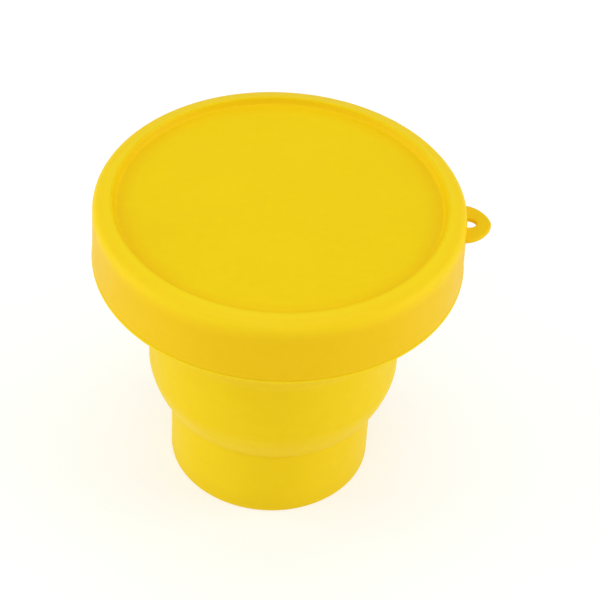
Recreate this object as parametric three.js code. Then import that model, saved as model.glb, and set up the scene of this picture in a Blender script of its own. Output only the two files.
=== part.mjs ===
// A collapsible travel cup of soft moulded silicone, with its cap-like lid on.
// Millimetres, +Z up. The origin is the centre of the flat underside, and the hanging loop points to +X.
// The cup stands extended: a straight base, a middle tier and a collar, with a thin folding wall
// between each two of them. Every ring is turned about the Z axis.
import * as THREE from "three";

// Driving dimensions
const OVERALL_HEIGHT = 77;
const OVERALL_WIDTH = 90; // from the collar ledge to the tip of the hanging loop
const TURN_STEPS = 64; // facets round the axis

const BASE_RADIUS = 24.1;
const BASE_WALL = 2.2;
const BASE_HEIGHT = 19.7;
const FLOOR_THICKNESS = 2.4;
const FOOT_CHAMFER = 0.5;

const RING_RADIUS = 29.55;
const RING_WALL = 2.4;
const RING_BOTTOM = 33;
const RING_TOP = 45;

const FOLD_WALL = 1.2;
const LOWER_FOLD_FOOT_RADIUS = 24.9; // the crease where the middle tier tucks in over the base
const LOWER_FOLD_BULGE_TOP = 30; // above this the middle tier is straight
const LOWER_FOLD_ROUNDNESS = 1.4; // exponent of the bulge: 1 is a cone, 2 a quarter ellipse
const UPPER_FOLD_TOP_RADIUS = 39.5;
const FOLD_STEPS = 6;

const LEDGE_RADIUS = 42.5;
const LEDGE_INNER_RADIUS = 37.4;
const LEDGE_BOTTOM = 60.6;
const LEDGE_THICKNESS = 0.8;
const LEDGE_EDGE_BEVEL = 0.2;
const COLLAR_BORE_RADIUS = 37;
const COLLAR_FOOT_RADIUS = 40.1;
const COLLAR_NECK_RADIUS = 39.4;
const COLLAR_NECK_HEIGHT = 71.3; // where the wall ends and the drinking lip starts
const LIP_HEIGHT = 1.5;
const LIP_ARC_STEPS = 6;

const SEAT_GAP = 0.1; // between the lid's skirt and the ledge it closes on
const JOIN_GAP = 0.05; // between two zones of one moulding that meet on a round face
const SKIRT_FOOT_RADIUS = 42.4;
const SKIRT_FOOT_BORE = 40.4;
const SKIRT_HEAD_BORE = 39.8;
const RIM_FOOT = 73;
const RIM_OUTER_RADIUS = 42;
const RIM_INNER_RADIUS = 37.05;
const RIM_CREST_RADIUS = 37.9; // where the rim is highest
const RIM_FALL = THREE.MathUtils.degToRad(16); // how steeply its top falls away outwards
const RIM_WALL_SLOPE = THREE.MathUtils.degToRad(70); // how steeply it falls to the panel inside it
const RIM_OUTER_ROUNDING = 2.1;
const RIM_INNER_ROUNDING = 0.4;
const ROUNDING_STEPS = 3;
const PANEL_RECESS = 1.6;
const PANEL_THICKNESS = 1.9;
const SEAL_LIP_OUTER_RADIUS = 36.7;
const SEAL_LIP_WALL = 1.3;
const SEAL_LIP_DEPTH = 3.2;
const SEAL_LIP_TAPER = 0.3;

const LOOP_HALF_WIDTH = 6.1; // at its root
const LOOP_FULLNESS = 1.7; // exponent of its outline: 1 is a triangle, 2 half an ellipse
const EYE_REACH = 1.9;
const EYE_HALF_WIDTH = 1.5;
const LOOP_THICKNESS = 1.2;
const LOOP_TOP = 73.3;
const LOOP_ROOT_GAP = 0.2; // between the loop's root and the skirt it grows from
const LOOP_ARC_STEPS = 18;
const EYE_ARC_STEPS = 8;

const LEDGE_TOP = LEDGE_BOTTOM + LEDGE_THICKNESS;
const PANEL_TOP = OVERALL_HEIGHT - PANEL_RECESS;
const PANEL_BOTTOM = PANEL_TOP - PANEL_THICKNESS;
const RIM_ROUNDING_CENTRE = RIM_OUTER_RADIUS - RIM_OUTER_ROUNDING;
const RIM_ROUNDING_FOOT = // the height where the rim's outer side starts to round off
  OVERALL_HEIGHT -
  (RIM_ROUNDING_CENTRE - RIM_CREST_RADIUS) * Math.tan(RIM_FALL) -
  RIM_OUTER_ROUNDING / Math.cos(RIM_FALL);

const CUP_SILICONE = { color: 0xeec424, roughness: 0.55, metalness: 0 };
const LID_SILICONE = { color: 0xf0c81e, roughness: 0.5, metalness: 0 };

const group = new THREE.Group();

function addMesh(name, geometry, finish) {
  const mesh = new THREE.Mesh(geometry, new THREE.MeshStandardMaterial(finish));
  mesh.name = name;
  group.add(mesh);
}

// Turns a profile of [radius, height] corners about the Z axis. The corners run anticlockwise
// when the radius points right and the height up, which leaves the faces pointing out.
function turned(corners) {
  const profile = corners.map(([radius, height]) => new THREE.Vector2(radius, height));
  return new THREE.LatheGeometry(profile, TURN_STEPS).rotateX(Math.PI / 2);
}

function turnedRing(corners) {
  return turned([...corners, corners[0]]);
}

// Corners along an elliptical arc about a centre, from one angle to another.
function arc(centreRadius, centreHeight, width, height, from, to, steps) {
  return Array.from({ length: steps + 1 }, (_, i) => {
    const angle = from + ((to - from) * i) / steps;
    return [centreRadius + width * Math.cos(angle), centreHeight + height * Math.sin(angle)];
  });
}

// A ring whose outer face follows outerRadius(height) between two heights, with an even wall inside it.
function foldRing(bottom, top, outerRadius) {
  const rise = top - bottom;
  const heights = Array.from({ length: FOLD_STEPS + 1 }, (_, i) => bottom + (rise * i) / FOLD_STEPS);
  const outside = heights.map((height) => [outerRadius(height), height]);
  const inside = heights.map((height) => [outerRadius(height) - FOLD_WALL, height]).reverse();
  return turnedRing([...outside, ...inside]);
}

function makeBase() {
  addMesh(
    "base_floor",
    turned([
      [0, 0],
      [BASE_RADIUS - FOOT_CHAMFER, 0],
      [BASE_RADIUS, FOOT_CHAMFER],
      [BASE_RADIUS, FLOOR_THICKNESS],
      [0, FLOOR_THICKNESS],
    ]),
    CUP_SILICONE,
  );
  addMesh(
    "base_wall",
    turnedRing([
      [BASE_RADIUS, FLOOR_THICKNESS],
      [BASE_RADIUS, BASE_HEIGHT],
      [BASE_RADIUS - BASE_WALL, BASE_HEIGHT],
      [BASE_RADIUS - BASE_WALL, FLOOR_THICKNESS],
    ]),
    CUP_SILICONE,
  );
}

function lowerFoldRadius(height) {
  const drop = (LOWER_FOLD_BULGE_TOP - height) / (LOWER_FOLD_BULGE_TOP - BASE_HEIGHT);
  const part = Math.max(0, drop) ** LOWER_FOLD_ROUNDNESS;
  const reach = Math.max(0, 1 - part) ** (1 / LOWER_FOLD_ROUNDNESS);
  return LOWER_FOLD_FOOT_RADIUS + (RING_RADIUS - LOWER_FOLD_FOOT_RADIUS) * reach;
}

function upperFoldRadius(height) {
  const rise = (height - RING_TOP) / (LEDGE_BOTTOM - RING_TOP);
  return RING_RADIUS + (UPPER_FOLD_TOP_RADIUS - RING_RADIUS) * rise * rise * (3 - 2 * rise);
}

function makeMiddleTier() {
  addMesh("lower_fold", foldRing(BASE_HEIGHT, RING_BOTTOM, lowerFoldRadius), CUP_SILICONE);
  addMesh(
    "middle_ring",
    turnedRing([
      [RING_RADIUS, RING_BOTTOM],
      [RING_RADIUS, RING_TOP],
      [RING_RADIUS - RING_WALL, RING_TOP],
      [RING_RADIUS - RING_WALL, RING_BOTTOM],
    ]),
    CUP_SILICONE,
  );
  addMesh("upper_fold", foldRing(RING_TOP, LEDGE_BOTTOM, upperFoldRadius), CUP_SILICONE);
}

function makeCollar() {
  addMesh(
    "collar_ledge",
    turnedRing([
      [LEDGE_INNER_RADIUS, LEDGE_BOTTOM],
      [LEDGE_RADIUS - LEDGE_EDGE_BEVEL, LEDGE_BOTTOM],
      [LEDGE_RADIUS, LEDGE_BOTTOM + LEDGE_EDGE_BEVEL],
      [LEDGE_RADIUS, LEDGE_TOP - LEDGE_EDGE_BEVEL],
      [LEDGE_RADIUS - LEDGE_EDGE_BEVEL, LEDGE_TOP],
      [LEDGE_INNER_RADIUS, LEDGE_TOP],
    ]),
    CUP_SILICONE,
  );
  addMesh(
    "collar_wall",
    turnedRing([
      [COLLAR_FOOT_RADIUS, LEDGE_TOP],
      [COLLAR_NECK_RADIUS, COLLAR_NECK_HEIGHT],
      [COLLAR_BORE_RADIUS, COLLAR_NECK_HEIGHT],
      [COLLAR_BORE_RADIUS, LEDGE_TOP],
    ]),
    CUP_SILICONE,
  );
  addMesh("drinking_lip", lipGeometry(), CUP_SILICONE);
}

// A half-round bead over the whole width of the collar's wall.
function lipGeometry() {
  const middle = (COLLAR_BORE_RADIUS + COLLAR_NECK_RADIUS) / 2;
  const halfWidth = (COLLAR_NECK_RADIUS - COLLAR_BORE_RADIUS) / 2;
  return turnedRing(arc(middle, COLLAR_NECK_HEIGHT, halfWidth, LIP_HEIGHT, 0, Math.PI, LIP_ARC_STEPS));
}

function makeLid() {
  addMesh(
    "lid_panel",
    turned([
      [0, PANEL_BOTTOM],
      [RIM_INNER_RADIUS - JOIN_GAP, PANEL_BOTTOM],
      [RIM_INNER_RADIUS - JOIN_GAP, PANEL_TOP],
      [0, PANEL_TOP],
    ]),
    LID_SILICONE,
  );
  addMesh("lid_rim", rimGeometry(), LID_SILICONE);
  addMesh(
    "lid_skirt",
    turnedRing([
      [SKIRT_FOOT_RADIUS, LEDGE_TOP + SEAT_GAP],
      [skirtRadius(RIM_FOOT), RIM_FOOT],
      [SKIRT_HEAD_BORE, RIM_FOOT],
      [SKIRT_FOOT_BORE, LEDGE_TOP + SEAT_GAP],
    ]),
    LID_SILICONE,
  );
  addMesh(
    "lid_seal_lip",
    turnedRing([
      [SEAL_LIP_OUTER_RADIUS - SEAL_LIP_TAPER, PANEL_BOTTOM - SEAL_LIP_DEPTH],
      [SEAL_LIP_OUTER_RADIUS, PANEL_BOTTOM],
      [SEAL_LIP_OUTER_RADIUS - SEAL_LIP_WALL, PANEL_BOTTOM],
      [SEAL_LIP_OUTER_RADIUS - SEAL_LIP_WALL, PANEL_BOTTOM - SEAL_LIP_DEPTH],
    ]),
    LID_SILICONE,
  );
  addMesh("hanging_loop", loopGeometry(), LID_SILICONE);
}

// A raised ring with a crest. Inside the crest it slopes down to the panel, and outside it falls
// a little and rounds off to the skirt.
function rimGeometry() {
  const up = Math.PI / 2;
  const outer = RIM_OUTER_ROUNDING;
  const inner = RIM_INNER_ROUNDING;
  const crestCentre = OVERALL_HEIGHT - inner;
  const crest = arc(RIM_CREST_RADIUS, crestCentre, inner, inner, up, up + RIM_WALL_SLOPE, ROUNDING_STEPS);
  const [wallTopRadius, wallTop] = crest.at(-1);
  const wallFoot = wallTop - (wallTopRadius - RIM_INNER_RADIUS) * Math.tan(RIM_WALL_SLOPE);
  return turnedRing([
    [RIM_INNER_RADIUS, RIM_FOOT],
    [skirtRadius(RIM_FOOT), RIM_FOOT],
    ...arc(RIM_ROUNDING_CENTRE, RIM_ROUNDING_FOOT, outer, outer, 0, up - RIM_FALL, ROUNDING_STEPS),
    ...crest,
    [RIM_INNER_RADIUS, wallFoot],
  ]);
}

// The skirt flares a little from the rim down to its open end.
function skirtRadius(height) {
  const drop = (RIM_ROUNDING_FOOT - height) / (RIM_ROUNDING_FOOT - LEDGE_TOP - SEAT_GAP);
  return RIM_OUTER_RADIUS + (SKIRT_FOOT_RADIUS - RIM_OUTER_RADIUS) * drop;
}

// A flat tab with a half-oval eye, its two ends against the round side of the skirt.
function loopGeometry() {
  const rootRadius = skirtRadius(LOOP_TOP - LOOP_THICKNESS) + LOOP_ROOT_GAP;
  const rootX = (y) => Math.sqrt(rootRadius ** 2 - y ** 2);
  const root = rootX(LOOP_HALF_WIDTH);
  const reach = OVERALL_WIDTH - LEDGE_RADIUS - root;
  const stretch = (share) => Math.sign(share) * Math.abs(share) ** (2 / LOOP_FULLNESS);
  const outline = new THREE.Shape();
  outline.moveTo(root, -LOOP_HALF_WIDTH);
  for (let i = 1; i <= LOOP_ARC_STEPS; i++) {
    const angle = Math.PI * (i / LOOP_ARC_STEPS - 0.5);
    outline.lineTo(root + reach * stretch(Math.cos(angle)), LOOP_HALF_WIDTH * stretch(Math.sin(angle)));
  }
  outline.lineTo(rootX(EYE_HALF_WIDTH), EYE_HALF_WIDTH);
  for (let i = 1; i < EYE_ARC_STEPS; i++) {
    const angle = Math.PI * (0.5 - i / EYE_ARC_STEPS);
    outline.lineTo(rootRadius + EYE_REACH * Math.cos(angle), EYE_HALF_WIDTH * Math.sin(angle));
  }
  outline.lineTo(rootX(EYE_HALF_WIDTH), -EYE_HALF_WIDTH);
  outline.closePath();
  const geometry = new THREE.ExtrudeGeometry(outline, { depth: LOOP_THICKNESS, bevelEnabled: false });
  return geometry.translate(0, 0, LOOP_TOP - LOOP_THICKNESS);
}

makeBase();
makeMiddleTier();
makeCollar();
makeLid();

export default group;
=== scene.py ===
"""A collapsible silicone travel cup with its cap-like lid on, standing extended on a pale floor.

Each piece is turned about the Z axis from a profile of (radius, height) corners, in metres, and takes
the place of the CAD solids whose box gives its size. Wall thicknesses and edge roundings, which a box
doesn't give, are named below.
"""

import math

import bpy
from mathutils import Matrix, Vector, noise


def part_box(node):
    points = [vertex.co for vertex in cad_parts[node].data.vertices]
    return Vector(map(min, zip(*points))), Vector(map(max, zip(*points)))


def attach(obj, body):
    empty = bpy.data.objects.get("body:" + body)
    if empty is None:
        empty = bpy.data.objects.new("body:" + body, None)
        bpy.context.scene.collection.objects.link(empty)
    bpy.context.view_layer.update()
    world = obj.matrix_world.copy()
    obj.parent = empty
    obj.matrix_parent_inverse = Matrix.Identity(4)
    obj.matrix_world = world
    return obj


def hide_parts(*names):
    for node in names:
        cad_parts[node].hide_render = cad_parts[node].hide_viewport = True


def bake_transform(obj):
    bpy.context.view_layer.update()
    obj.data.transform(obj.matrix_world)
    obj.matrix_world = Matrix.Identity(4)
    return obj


MM = 0.001
SEGMENTS = 240                  # steps round the axis
PROFILE_STEP = 0.9 * MM         # longest edge along a profile
FILLET_STEPS = 7                # steps round a rounded corner
SHARP_ANGLE = math.radians(35)  # an edge that turns by more than this is shaded as an edge
ON_AXIS = 1e-9                  # a smaller radius than this is the axis itself

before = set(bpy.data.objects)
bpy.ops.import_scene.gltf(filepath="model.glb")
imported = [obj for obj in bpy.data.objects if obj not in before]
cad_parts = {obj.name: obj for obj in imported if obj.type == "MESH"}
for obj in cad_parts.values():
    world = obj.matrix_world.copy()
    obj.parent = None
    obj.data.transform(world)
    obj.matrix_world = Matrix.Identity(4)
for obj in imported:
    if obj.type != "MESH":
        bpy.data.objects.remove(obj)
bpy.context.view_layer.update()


# ---------------------------------------------------------------- sizes taken from the frame

def radius_of(node):
    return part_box(node)[1].y


def bottom_of(node):
    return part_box(node)[0].z


def top_of(node):
    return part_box(node)[1].z


BASE_RADIUS = radius_of("base_floor")
FLOOR_TOP = top_of("base_floor")
BASE_TOP = top_of("base_wall")
RING_RADIUS = radius_of("middle_ring")
RING_BOTTOM = bottom_of("middle_ring")
RING_TOP = top_of("middle_ring")
UPPER_FOLD_RADIUS = radius_of("upper_fold")
LEDGE_RADIUS = radius_of("collar_ledge")
LEDGE_BOTTOM = bottom_of("collar_ledge")
LEDGE_TOP = top_of("collar_ledge")
COLLAR_RADIUS = radius_of("collar_wall")
LIP_TOP = top_of("drinking_lip")
LIP_RADIUS = radius_of("drinking_lip")
SKIRT_RADIUS = radius_of("lid_skirt")
RIM_FOOT = bottom_of("lid_rim")
LID_TOP = top_of("lid_rim")
PANEL_TOP = top_of("lid_panel")
PANEL_BOTTOM = bottom_of("lid_panel")
PANEL_RADIUS = radius_of("lid_panel")
SEAL_LIP_RADIUS = radius_of("lid_seal_lip")
SEAL_LIP_BOTTOM = bottom_of("lid_seal_lip")
LOOP_BOTTOM = bottom_of("hanging_loop")
LOOP_TOP = top_of("hanging_loop")
LOOP_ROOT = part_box("hanging_loop")[0].x
LOOP_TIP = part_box("hanging_loop")[1].x
LOOP_HALF_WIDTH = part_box("hanging_loop")[1].y

# Sizes that the boxes don't give
BASE_WALL = 2.2 * MM
RING_WALL = 2.4 * MM
FOLD_WALL = 1.2 * MM
CREASE_RADIUS = 24.9 * MM          # where the lower fold tucks in over the base
BULGE_TOP = 30 * MM                # above this the lower fold is straight
BULGE_ROUNDNESS = 1.4              # exponent of its bulge: 1 is a cone, 2 an ellipse
COLLAR_BORE = 37 * MM
RIM_OUTER_RADIUS = 42 * MM
RIM_CREST_RADIUS = 37.9 * MM       # where the rim is highest
RIM_FALL = math.radians(16)        # how steeply its top falls away outwards
RIM_WALL_SLOPE = math.radians(64)  # how steeply it falls to the panel inside it
RIM_OUTER_ROUNDING = 2.1 * MM
RIM_INNER_ROUNDING = 0.4 * MM
SKIRT_WALL = 2 * MM
SKIRT_CLEARANCE = 0.02 * MM        # between the skirt's foot and the ledge
SKIRT_TUCK = 0.04 * MM             # how far the skirt's foot draws in over the ledge
SKIRT_HEAD_BORE = 39.8 * MM
SEAL_LIP_WALL = 1.3 * MM
SEAL_LIP_TAPER = 0.3 * MM
EYE_REACH = 1.9 * MM
EYE_HALF_WIDTH = 1.5 * MM
LOOP_FULLNESS = 1.7                # exponent of the loop's outline: 1 is a triangle, 2 half an ellipse

# How years of folding have settled the walls
MEAN_PULL = 0.05 * MM              # how far they are drawn in on average
STILL_CENTRE = 1 * MM              # nearer to the axis than this, nothing moves
WAVE_CIRCLE = 1.3                  # radius, in the noise, of the circle that goes round the cup
WAVE_HEIGHT = 26 * MM              # height of one unit of the noise
WAVE_CONTRAST = 1.6


# ---------------------------------------------------------------- profiles and turned meshes

def settled(point):
    """The point drawn in towards the axis, by up to twice the mean pull, in broad soft waves."""
    axis_distance = math.hypot(point.x, point.y)
    if axis_distance < STILL_CENTRE:
        return point
    around = Vector((point.x, point.y, 0)) / axis_distance
    wave = noise.noise(around * WAVE_CIRCLE + Vector((0, 0, point.z / WAVE_HEIGHT)))
    pull = MEAN_PULL * (1 + max(-1, min(1, wave * WAVE_CONTRAST)))
    return point - around * pull * min(1, axis_distance / BASE_RADIUS)


def rounded(corners, closed):
    """The profile through (radius, height, rounding) corners, with an arc at each rounded corner."""
    profile = []
    last = len(corners) - 1
    for index, (radius, height, rounding) in enumerate(corners):
        here = Vector((radius, height))
        if rounding == 0 or (not closed and index in (0, last)):
            profile.append(here)
            continue
        before = Vector(corners[index - 1][:2]) - here
        after = Vector(corners[(index + 1) % len(corners)][:2]) - here
        half_angle = before.angle(after) / 2
        setback = rounding / math.tan(half_angle)
        middle_way = (before.normalized() + after.normalized()).normalized()
        centre = here + middle_way * (rounding / math.sin(half_angle))
        first = here + before.normalized() * setback - centre
        turn = first.angle_signed(here + after.normalized() * setback - centre)
        for step in range(FILLET_STEPS + 1):
            spoke = first.copy()
            spoke.rotate(Matrix.Rotation(-turn * step / FILLET_STEPS, 2))
            profile.append(centre + spoke)
    return profile


def evenly(profile, closed):
    """The same profile with its long edges divided."""
    fine = []
    pairs = zip(profile, profile[1:] + profile[:1]) if closed else zip(profile, profile[1:])
    for start, end in pairs:
        parts = max(1, math.ceil((end - start).length / PROFILE_STEP))
        fine += [start.lerp(end, part / parts) for part in range(parts)]
    return fine if closed else fine + [profile[-1]]


def turned(name, profile, closed):
    """A mesh object: the profile turned about the Z axis. An open profile starts and ends on the axis."""
    profile = evenly(profile, closed)
    vertices, rings = [], []
    for radius, height in profile:
        if radius < ON_AXIS:
            rings.append([len(vertices)])
            vertices.append((0, 0, height))
            continue
        rings.append(list(range(len(vertices), len(vertices) + SEGMENTS)))
        for step in range(SEGMENTS):
            angle = 2 * math.pi * step / SEGMENTS
            vertices.append((radius * math.cos(angle), radius * math.sin(angle), height))
    pairs = zip(rings, rings[1:] + rings[:1]) if closed else zip(rings, rings[1:])
    faces = []
    for low, high in pairs:
        for step in range(SEGMENTS):
            following = (step + 1) % SEGMENTS
            if len(low) == 1:
                faces.append((low[0], high[following], high[step]))
            elif len(high) == 1:
                faces.append((low[step], low[following], high[0]))
            else:
                faces.append((low[step], low[following], high[following], high[step]))
    return mesh_object(name, [settled(Vector(vertex)) for vertex in vertices], faces)


def mesh_object(name, vertices, faces):
    mesh = bpy.data.meshes.new(name)
    mesh.from_pydata([tuple(vertex) for vertex in vertices], [], faces)
    mesh.validate()
    mesh.shade_smooth()
    mesh.set_sharp_from_angle(angle=SHARP_ANGLE)
    made = bpy.data.objects.new(name, mesh)
    bpy.context.scene.collection.objects.link(made)
    return made


# ---------------------------------------------------------------- silicone

# Texture scales: roughly, features per metre
CLOUD_SCALE = 38
SMUDGE_SCALE = 95
DUST_SCALE = 330
PEEL_SCALE = 420
GRAIN_SCALE = 5200

# Linear colours
CUP_YELLOW = (0.86, 0.602, 0.0016)
CUP_YELLOW_DEEP = (0.842, 0.572, 0.0014)
LID_YELLOW = (0.875, 0.617, 0.0016)
LID_YELLOW_DEEP = (0.86, 0.59, 0.0014)
# Painted shade: the cup's foot darkened towards the floor, where its contact shade falls
FOOT_SHADE = (0.8, 0.54, 0.0016)
# Painted highlight: a paler line along the ledge's outer edge, where it catches the light
LEDGE_HIGHLIGHT = (0.9, 0.65, 0.008)
# Painted highlight: the rim's top, outwards from its crest, made paler where the side light falls
RIM_HIGHLIGHT = (0.92, 0.69, 0.021)
DUST = (0.93, 0.82, 0.4)
SKIRT_SHADE_FILTER = (0.965, 0.925, 1)   # painted shade: multiplies the lid's tint below the rim, darker and more orange down its sides
BORDER_SHADE_FILTER = (1.01, 0.95, 0.7)  # painted shade: multiplies it from the panel's edge outwards, below the crest, deeper orange in the recess round the panel and down the skirt
PALER = 1.06                       # the mottle, as a multiple of the main colour

SILICONE_IOR = 1.42
SILICONE_SPECULAR = 0.13

# The Mix node's colour sockets, which share their names with its number and vector ones
MIX_FIRST, MIX_SECOND, MIX_RESULT = 6, 7, 2


class Shading:
    """The nodes of one material, with short ways to add the kinds used here."""

    def __init__(self, name):
        self.material = bpy.data.materials.new(name)
        self.material.use_nodes = True
        self.tree = self.material.node_tree
        self.shader = self.tree.nodes["Principled BSDF"]
        self.place = self.tree.nodes.new("ShaderNodeTexCoord").outputs["Object"]

    def link(self, output, socket):
        self.tree.links.new(output, socket)

    def clouds(self, scale, detail, roughness=0.5):
        texture = self.tree.nodes.new("ShaderNodeTexNoise")
        texture.inputs["Scale"].default_value = scale
        texture.inputs["Detail"].default_value = detail
        texture.inputs["Roughness"].default_value = roughness
        self.link(self.place, texture.inputs["Vector"])
        return texture.outputs["Fac"]

    def ranged(self, value, span, result=(0, 1)):
        """The value, taken from the span's two ends to the result's two ends and held between those."""
        node = self.tree.nodes.new("ShaderNodeMapRange")
        for socket, number in zip(("From Min", "From Max", "To Min", "To Max"), (*span, *result)):
            node.inputs[socket].default_value = number
        self.link(value, node.inputs["Value"])
        return node.outputs["Result"]

    def mixed(self, factor, first, second, blend="MIX"):
        """Two colours mixed. Each is an output or three numbers."""
        node = self.tree.nodes.new("ShaderNodeMix")
        node.data_type = "RGBA"
        node.blend_type = blend
        self.link(factor, node.inputs["Factor"])
        for value, socket in ((first, node.inputs[MIX_FIRST]), (second, node.inputs[MIX_SECOND])):
            if isinstance(value, bpy.types.NodeSocket):
                self.link(value, socket)
            else:
                socket.default_value = (*value, 1)
        return node.outputs[MIX_RESULT]

    def bumped(self, height, distance, strength, normal=None):
        node = self.tree.nodes.new("ShaderNodeBump")
        node.inputs["Distance"].default_value = distance
        node.inputs["Strength"].default_value = strength
        self.link(height, node.inputs["Height"])
        if normal:
            self.link(normal, node.inputs["Normal"])
        return node.outputs["Normal"]

    def height(self):
        """The height of the point being shaded, in the piece's own frame."""
        node = self.tree.nodes.new("ShaderNodeSeparateXYZ")
        self.link(self.place, node.inputs["Vector"])
        return node.outputs["Z"]

    def axis_distance(self):
        """The distance of that point from the Z axis."""
        flat = self.tree.nodes.new("ShaderNodeVectorMath")
        flat.operation = "MULTIPLY"
        flat.inputs[1].default_value = (1, 1, 0)
        self.link(self.place, flat.inputs[0])
        length = self.tree.nodes.new("ShaderNodeVectorMath")
        length.operation = "LENGTH"
        self.link(flat.outputs["Vector"], length.inputs[0])
        return length.outputs["Value"]

    def product(self, first, second):
        node = self.tree.nodes.new("ShaderNodeMath")
        node.operation = "MULTIPLY"
        self.link(first, node.inputs[0])
        self.link(second, node.inputs[1])
        return node.outputs["Value"]

    def zone(self, radii, heights, most):
        """A share that grows from 0 to the most across the radii, where the heights let it through."""
        return self.product(
            self.ranged(self.axis_distance(), radii, (0, most)),
            self.ranged(self.height(), heights),
        )


def cloudy_tint(shading, colour, deep_colour):
    """The moulding's own colour: broad clouds, with a finer and paler mottle over them."""
    clouds = shading.ranged(shading.clouds(CLOUD_SCALE, detail=3), (0.3, 0.7))
    tint = shading.mixed(clouds, colour, deep_colour)
    paler = tuple(channel * PALER for channel in colour)
    mottle = shading.ranged(shading.clouds(PEEL_SCALE, detail=4, roughness=0.6), (0.45, 0.8), (0, 0.35))
    return shading.mixed(mottle, tint, paler)


def silicone(shading, tint, roughness):
    """Matte moulded silicone over that tint: a faint orange-peel, smudges and a little dust."""
    specks = shading.tree.nodes.new("ShaderNodeTexVoronoi")
    specks.inputs["Scale"].default_value = DUST_SCALE
    shading.link(shading.place, specks.inputs["Vector"])
    dust = shading.ranged(specks.outputs["Distance"], (0.03, 0.055), (0.16, 0))
    shading.link(shading.mixed(dust, tint, DUST), shading.shader.inputs["Base Color"])

    smudges = shading.clouds(SMUDGE_SCALE, detail=5, roughness=0.65)
    smudged = shading.ranged(smudges, (0.3, 0.75), (roughness - 0.07, roughness + 0.09))
    shading.link(smudged, shading.shader.inputs["Roughness"])

    broad = shading.clouds(CLOUD_SCALE, detail=3)
    soft = shading.bumped(broad, distance=0.35 * MM, strength=0.25)
    orange_peel = shading.clouds(PEEL_SCALE, detail=4, roughness=0.6)
    peel = shading.bumped(orange_peel, distance=0.05 * MM, strength=0.35, normal=soft)
    fine = shading.clouds(GRAIN_SCALE, detail=2)
    grain = shading.bumped(fine, distance=0.012 * MM, strength=0.5, normal=peel)
    shading.link(grain, shading.shader.inputs["Normal"])

    shading.shader.inputs["IOR"].default_value = SILICONE_IOR
    shading.shader.inputs["Specular IOR Level"].default_value = SILICONE_SPECULAR
    return shading.material


def make_cup_silicone():
    shading = Shading("cup_silicone")
    tint = cloudy_tint(shading, CUP_YELLOW, CUP_YELLOW_DEEP)
    # Painted shade: the base darker towards its foot, where the floor shades it
    painted_foot_shade = shading.ranged(shading.height(), (1 * MM, 6 * MM), (0.5, 0))
    tint = shading.mixed(painted_foot_shade, tint, FOOT_SHADE)
    # Painted highlight along the ledge's outer edge
    painted_ledge_highlight = shading.zone(
        radii=(LEDGE_RADIUS - 0.5 * MM, LEDGE_RADIUS - 0.1 * MM),
        heights=(LEDGE_BOTTOM - 0.4 * MM, LEDGE_BOTTOM),
        most=0.6,
    )
    tint = shading.mixed(painted_ledge_highlight, tint, LEDGE_HIGHLIGHT)
    return silicone(shading, tint, roughness=0.5)


def make_lid_silicone():
    shading = Shading("lid_silicone")
    tint = cloudy_tint(shading, LID_YELLOW, LID_YELLOW_DEEP)
    # Painted shade: the lid's skirt darker and more orange than its top
    skirt = shading.ranged(shading.height(), (LID_TOP - 2 * MM, LID_TOP - 5 * MM))
    tint = shading.mixed(skirt, tint, SKIRT_SHADE_FILTER, "MULTIPLY")
    # Painted shade: the panel's border, the recess wall and everything outside it below the crest turned
    # deeper orange
    painted_border_shade = shading.zone(
        radii=(PANEL_RADIUS - 4 * MM, PANEL_RADIUS - 0.5 * MM),
        heights=(LID_TOP - 0.2 * MM, LID_TOP - 0.6 * MM),
        most=1,
    )
    tint = shading.mixed(painted_border_shade, tint, BORDER_SHADE_FILTER, "MULTIPLY")
    # Painted highlight on the rim's top, outwards from its crest
    painted_rim_highlight = shading.zone(
        radii=(RIM_CREST_RADIUS, RIM_CREST_RADIUS + 0.4 * MM),
        heights=(LID_TOP - 3.5 * MM, LID_TOP - 1.5 * MM),
        most=0.35,
    )
    tint = shading.mixed(painted_rim_highlight, tint, RIM_HIGHLIGHT)
    return silicone(shading, tint, roughness=0.47)


cup_silicone = make_cup_silicone()
lid_silicone = make_lid_silicone()


def finished(piece, material, slot, *nodes):
    piece.data.materials.append(material)
    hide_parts(*nodes)
    return piece


# ---------------------------------------------------------------- the cup body

def make_base():
    foot_rounding = 0.35 * MM
    outer_edge_rounding = 0.25 * MM
    inner_edge_rounding = 0.9 * MM
    floor_rounding = 4 * MM
    profile = rounded([
        (0, 0, 0),
        (BASE_RADIUS, 0, foot_rounding),
        (BASE_RADIUS, BASE_TOP, outer_edge_rounding),
        (BASE_RADIUS - BASE_WALL, BASE_TOP, inner_edge_rounding),
        (BASE_RADIUS - BASE_WALL, FLOOR_TOP, floor_rounding),
        (0, FLOOR_TOP, 0),
    ], closed=False)
    base = turned("base_cup", profile, closed=False)
    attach(base, "base")
    finished(base, cup_silicone, "cup_silicone", "base_floor", "base_wall")


def lower_fold_radius(height):
    drop = max(0, (BULGE_TOP - height) / (BULGE_TOP - BASE_TOP))
    reach = max(0, 1 - drop ** BULGE_ROUNDNESS) ** (1 / BULGE_ROUNDNESS)
    return CREASE_RADIUS + (RING_RADIUS - CREASE_RADIUS) * reach


def upper_fold_radius(height):
    rise = (height - RING_TOP) / (LEDGE_BOTTOM - RING_TOP)
    return RING_RADIUS + (UPPER_FOLD_RADIUS - RING_RADIUS) * rise * rise * (3 - 2 * rise)


def fold_profile(bottom, top, outer_radius, steps=36, crowding=1.5):
    """A thin wall that follows outer_radius(height), with points closer together near its foot."""
    heights = [bottom + (top - bottom) * (step / steps) ** crowding for step in range(steps + 1)]
    outside = [Vector((outer_radius(height), height)) for height in heights]
    inside = [Vector((outer_radius(height) - FOLD_WALL, height)) for height in reversed(heights)]
    return outside + inside


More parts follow.
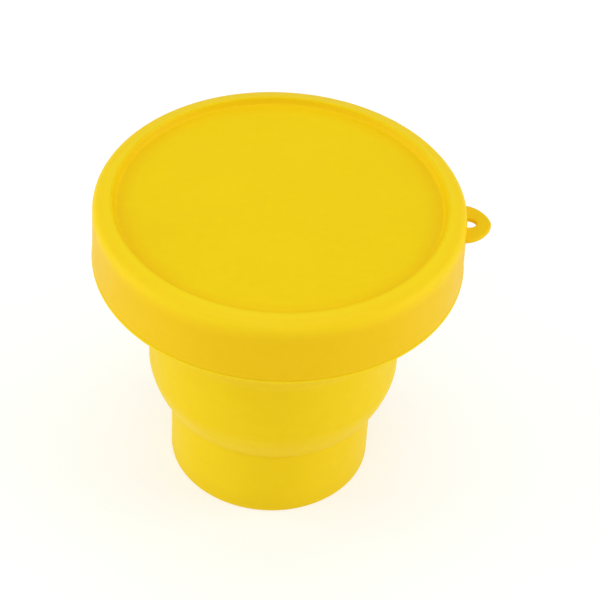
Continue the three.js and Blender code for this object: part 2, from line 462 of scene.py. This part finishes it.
def make_folds():
    lower = turned("lower_fold_wall", fold_profile(BASE_TOP, RING_BOTTOM, lower_fold_radius), closed=True)
    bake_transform(lower)
    finished(lower, cup_silicone, "cup_silicone", "lower_fold")
    upper = turned("upper_fold_wall", fold_profile(RING_TOP, LEDGE_BOTTOM, upper_fold_radius), closed=True)
    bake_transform(upper)
    finished(upper, cup_silicone, "cup_silicone", "upper_fold")


def make_middle_ring():
    inner_rounding = 0.8 * MM
    profile = rounded([
        (RING_RADIUS, RING_BOTTOM, 0),
        (RING_RADIUS, RING_TOP, 0),
        (RING_RADIUS - RING_WALL, RING_TOP, inner_rounding),
        (RING_RADIUS - RING_WALL, RING_BOTTOM, inner_rounding),
    ], closed=True)
    ring = turned("middle_tier", profile, closed=True)
    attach(ring, "middle")
    finished(ring, cup_silicone, "cup_silicone", "middle_ring")


def make_collar():
    foot_rounding = 0.3 * MM
    ledge_rounding = 0.25 * MM
    corner_rounding = 0.2 * MM
    mouth_rounding = 1.1 * MM
    profile = rounded([
        (COLLAR_BORE, LEDGE_BOTTOM, foot_rounding),
        (LEDGE_RADIUS, LEDGE_BOTTOM, foot_rounding),
        (LEDGE_RADIUS, LEDGE_TOP, ledge_rounding),
        (COLLAR_RADIUS, LEDGE_TOP, corner_rounding),
        (LIP_RADIUS, LIP_TOP, mouth_rounding),
        (COLLAR_BORE, LIP_TOP, mouth_rounding),
    ], closed=True)
    collar = turned("collar", profile, closed=True)
    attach(collar, "collar")
    finished(collar, cup_silicone, "cup_silicone", "collar_ledge", "collar_wall", "drinking_lip")


# ---------------------------------------------------------------- the lid

def rim_crest():
    """Where the rim's two slopes would meet, for its rounded crest to reach the lid's top."""
    lean = (RIM_WALL_SLOPE - RIM_FALL) / 2
    reach = RIM_INNER_ROUNDING / math.cos((RIM_WALL_SLOPE + RIM_FALL) / 2)
    return (
        RIM_CREST_RADIUS - reach * math.sin(lean),
        LID_TOP - RIM_INNER_ROUNDING + reach * math.cos(lean),
    )


def make_lid():
    lip_rounding = 0.4 * MM
    lip_root_rounding = 0.2 * MM
    skirt_head_rounding = 0.6 * MM
    skirt_bore_rounding = 0.3 * MM
    skirt_edge_rounding = 0.03 * MM
    panel_edge_fillet = 0.8 * MM
    skirt_seat = LEDGE_TOP + SKIRT_CLEARANCE
    crest_radius, crest_height = rim_crest()
    rim_edge_height = crest_height - (RIM_OUTER_RADIUS - crest_radius) * math.tan(RIM_FALL)
    panel_edge_radius = crest_radius - (crest_height - PANEL_TOP) / math.tan(RIM_WALL_SLOPE)
    profile = rounded([
        (0, PANEL_BOTTOM, 0),
        (SEAL_LIP_RADIUS - SEAL_LIP_WALL, PANEL_BOTTOM, lip_rounding),
        (SEAL_LIP_RADIUS - SEAL_LIP_WALL, SEAL_LIP_BOTTOM, lip_rounding),
        (SEAL_LIP_RADIUS - SEAL_LIP_TAPER, SEAL_LIP_BOTTOM, lip_rounding),
        (SEAL_LIP_RADIUS, RIM_FOOT, lip_root_rounding),
        (SKIRT_HEAD_BORE, RIM_FOOT, skirt_head_rounding),
        (SKIRT_RADIUS - SKIRT_WALL, skirt_seat, skirt_bore_rounding),
        (SKIRT_RADIUS - SKIRT_TUCK, skirt_seat, skirt_edge_rounding),
        (RIM_OUTER_RADIUS, rim_edge_height, RIM_OUTER_ROUNDING),
        (crest_radius, crest_height, RIM_INNER_ROUNDING),
        (panel_edge_radius, PANEL_TOP, panel_edge_fillet),
        (0, PANEL_TOP, 0),
    ], closed=False)
    lid = turned("lid_cap", profile, closed=False)
    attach(lid, "lid")
    finished(lid, lid_silicone, "lid_silicone", "lid_panel", "lid_rim", "lid_skirt", "lid_seal_lip")


def make_loop():
    """A flat tab with a half-oval eye, lofted from one root to the other, its edges rounded over."""
    around = 48              # steps from one arm to the other
    buried = 1.2 * MM        # how far its two arms run into the skirt
    edge = 0.4 * MM          # rounding of its edges
    middle_z = (LOOP_BOTTOM + LOOP_TOP) / 2
    half = (LOOP_TOP - LOOP_BOTTOM) / 2
    eye_x = math.sqrt(LOOP_ROOT ** 2 + LOOP_HALF_WIDTH ** 2)

    def stretched(share):
        return math.copysign(abs(share) ** (2 / LOOP_FULLNESS), share)

    def section(angle, sunk):
        """One closed cross-section, between the eye's wall and the outer edge, moved back by sunk."""
        inner = Vector((
            eye_x + EYE_REACH * math.cos(angle) - sunk,
            EYE_HALF_WIDTH * math.sin(angle),
            middle_z,
        ))
        outer = Vector((
            LOOP_ROOT + (LOOP_TIP - LOOP_ROOT) * stretched(math.cos(angle)) - sunk,
            LOOP_HALF_WIDTH * stretched(math.sin(angle)),
            middle_z,
        ))
        width = (outer - inner).length
        outward = (outer - inner) / width
        corners = [(0, -half, edge), (width, -half, edge), (width, half, edge), (0, half, edge)]
        outline = rounded(corners, closed=True)
        return [inner + outward * distance + Vector((0, 0, height)) for distance, height in outline]

    angles = [math.pi * (step / around - 0.5) for step in range(around + 1)]
    rows = [section(angle, 0) for angle in angles]
    rows = [section(angles[0], buried)] + rows + [section(angles[-1], buried)]
    count = len(rows[0])
    vertices = [settled(point) for row in rows for point in row]
    faces = [tuple(range(count))[::-1], tuple(range(len(vertices) - count, len(vertices)))]
    for row in range(len(rows) - 1):
        for step in range(count):
            following = (step + 1) % count
            low, high = row * count, (row + 1) * count
            faces.append((low + step, low + following, high + following, high + step))
    loop = mesh_object("hanging_tab", vertices, faces)
    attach(loop, "lid")
    finished(loop, lid_silicone, "lid_silicone", "hanging_loop")


make_base()
make_folds()
make_middle_ring()
make_collar()
make_lid()
make_loop()


# ---------------------------------------------------------------- floor, light and camera

WHITE = (1, 1, 1)
FLOOR_HALF_WIDTH = 12
FLOOR_ALBEDO = 0.5
FLOOR_ROUGHNESS = 0.9
FLOOR_GLOW = 0.53
WORLD_STRENGTH = 0.545
SOFTBOX_SIZE = 0.8
LIT_POINT = Vector((0, 0, 0.04))   # about the middle of the cup


def make_floor():
    half = FLOOR_HALF_WIDTH
    corners = [(-half, -half, 0), (half, -half, 0), (half, half, 0), (-half, half, 0)]
    floor = mesh_object("floor", corners, [(0, 1, 2, 3)])
    material = bpy.data.materials.new("pale_floor")
    material.use_nodes = True
    shader = material.node_tree.nodes["Principled BSDF"]
    shader.inputs["Base Color"].default_value = (FLOOR_ALBEDO, FLOOR_ALBEDO, FLOOR_ALBEDO, 1)
    shader.inputs["Roughness"].default_value = FLOOR_ROUGHNESS
    shader.inputs["Emission Color"].default_value = (*WHITE, 1)
    shader.inputs["Emission Strength"].default_value = FLOOR_GLOW
    floor.data.materials.append(material)


def make_softbox(name, place, power, colour=WHITE):
    """A round soft light that faces the cup."""
    light = bpy.data.lights.new(name, "AREA")
    light.shape = "DISK"
    light.size = SOFTBOX_SIZE
    light.energy = power
    light.color = colour
    holder = bpy.data.objects.new(name, light)
    holder.location = place
    aim = LIT_POINT - Vector(place)
    holder.rotation_euler = aim.to_track_quat("-Z", "Y").to_euler()
    bpy.context.scene.collection.objects.link(holder)


def make_camera():
    """A camera where the photo's outlines place it, looking down at the cup from the front."""
    target = Vector((5.64, 0, 46.85)) * MM
    distance = 482 * MM
    elevation = math.radians(42.13)
    roll = math.radians(3.45)
    back = Vector((0, -math.cos(elevation), math.sin(elevation)))
    camera = bpy.data.cameras.new("camera")
    camera.lens = 124.2
    camera.sensor_width = 36
    holder = bpy.data.objects.new("camera", camera)
    turn = (-back).to_track_quat("-Z", "Y").to_matrix() @ Matrix.Rotation(roll, 3, "Z")
    holder.matrix_world = Matrix.Translation(target + back * distance) @ turn.to_4x4()
    bpy.context.scene.collection.objects.link(holder)
    bpy.context.scene.camera = holder


def make_world():
    world = bpy.data.worlds.new("studio")
    world.use_nodes = True
    background = world.node_tree.nodes["Background"]
    background.inputs["Color"].default_value = (*WHITE, 1)
    background.inputs["Strength"].default_value = WORLD_STRENGTH
    bpy.context.scene.world = world


make_floor()
make_world()
make_softbox("left", (-1.0, 0, 0.4), 3.75, (0.86, 1, 0.88))
make_softbox("right", (1.0, 0, 0.4), 4.05, (0.94, 1, 0.95))
make_softbox("top", (0, 0.2, 1.2), 2.5)
make_softbox("front", (0, -0.9, 1.0), 2.35)
make_softbox("front_left", (-0.8, -0.8, 0.5), 0.9)
make_camera()
bpy.context.scene.view_settings.view_transform = "Standard"
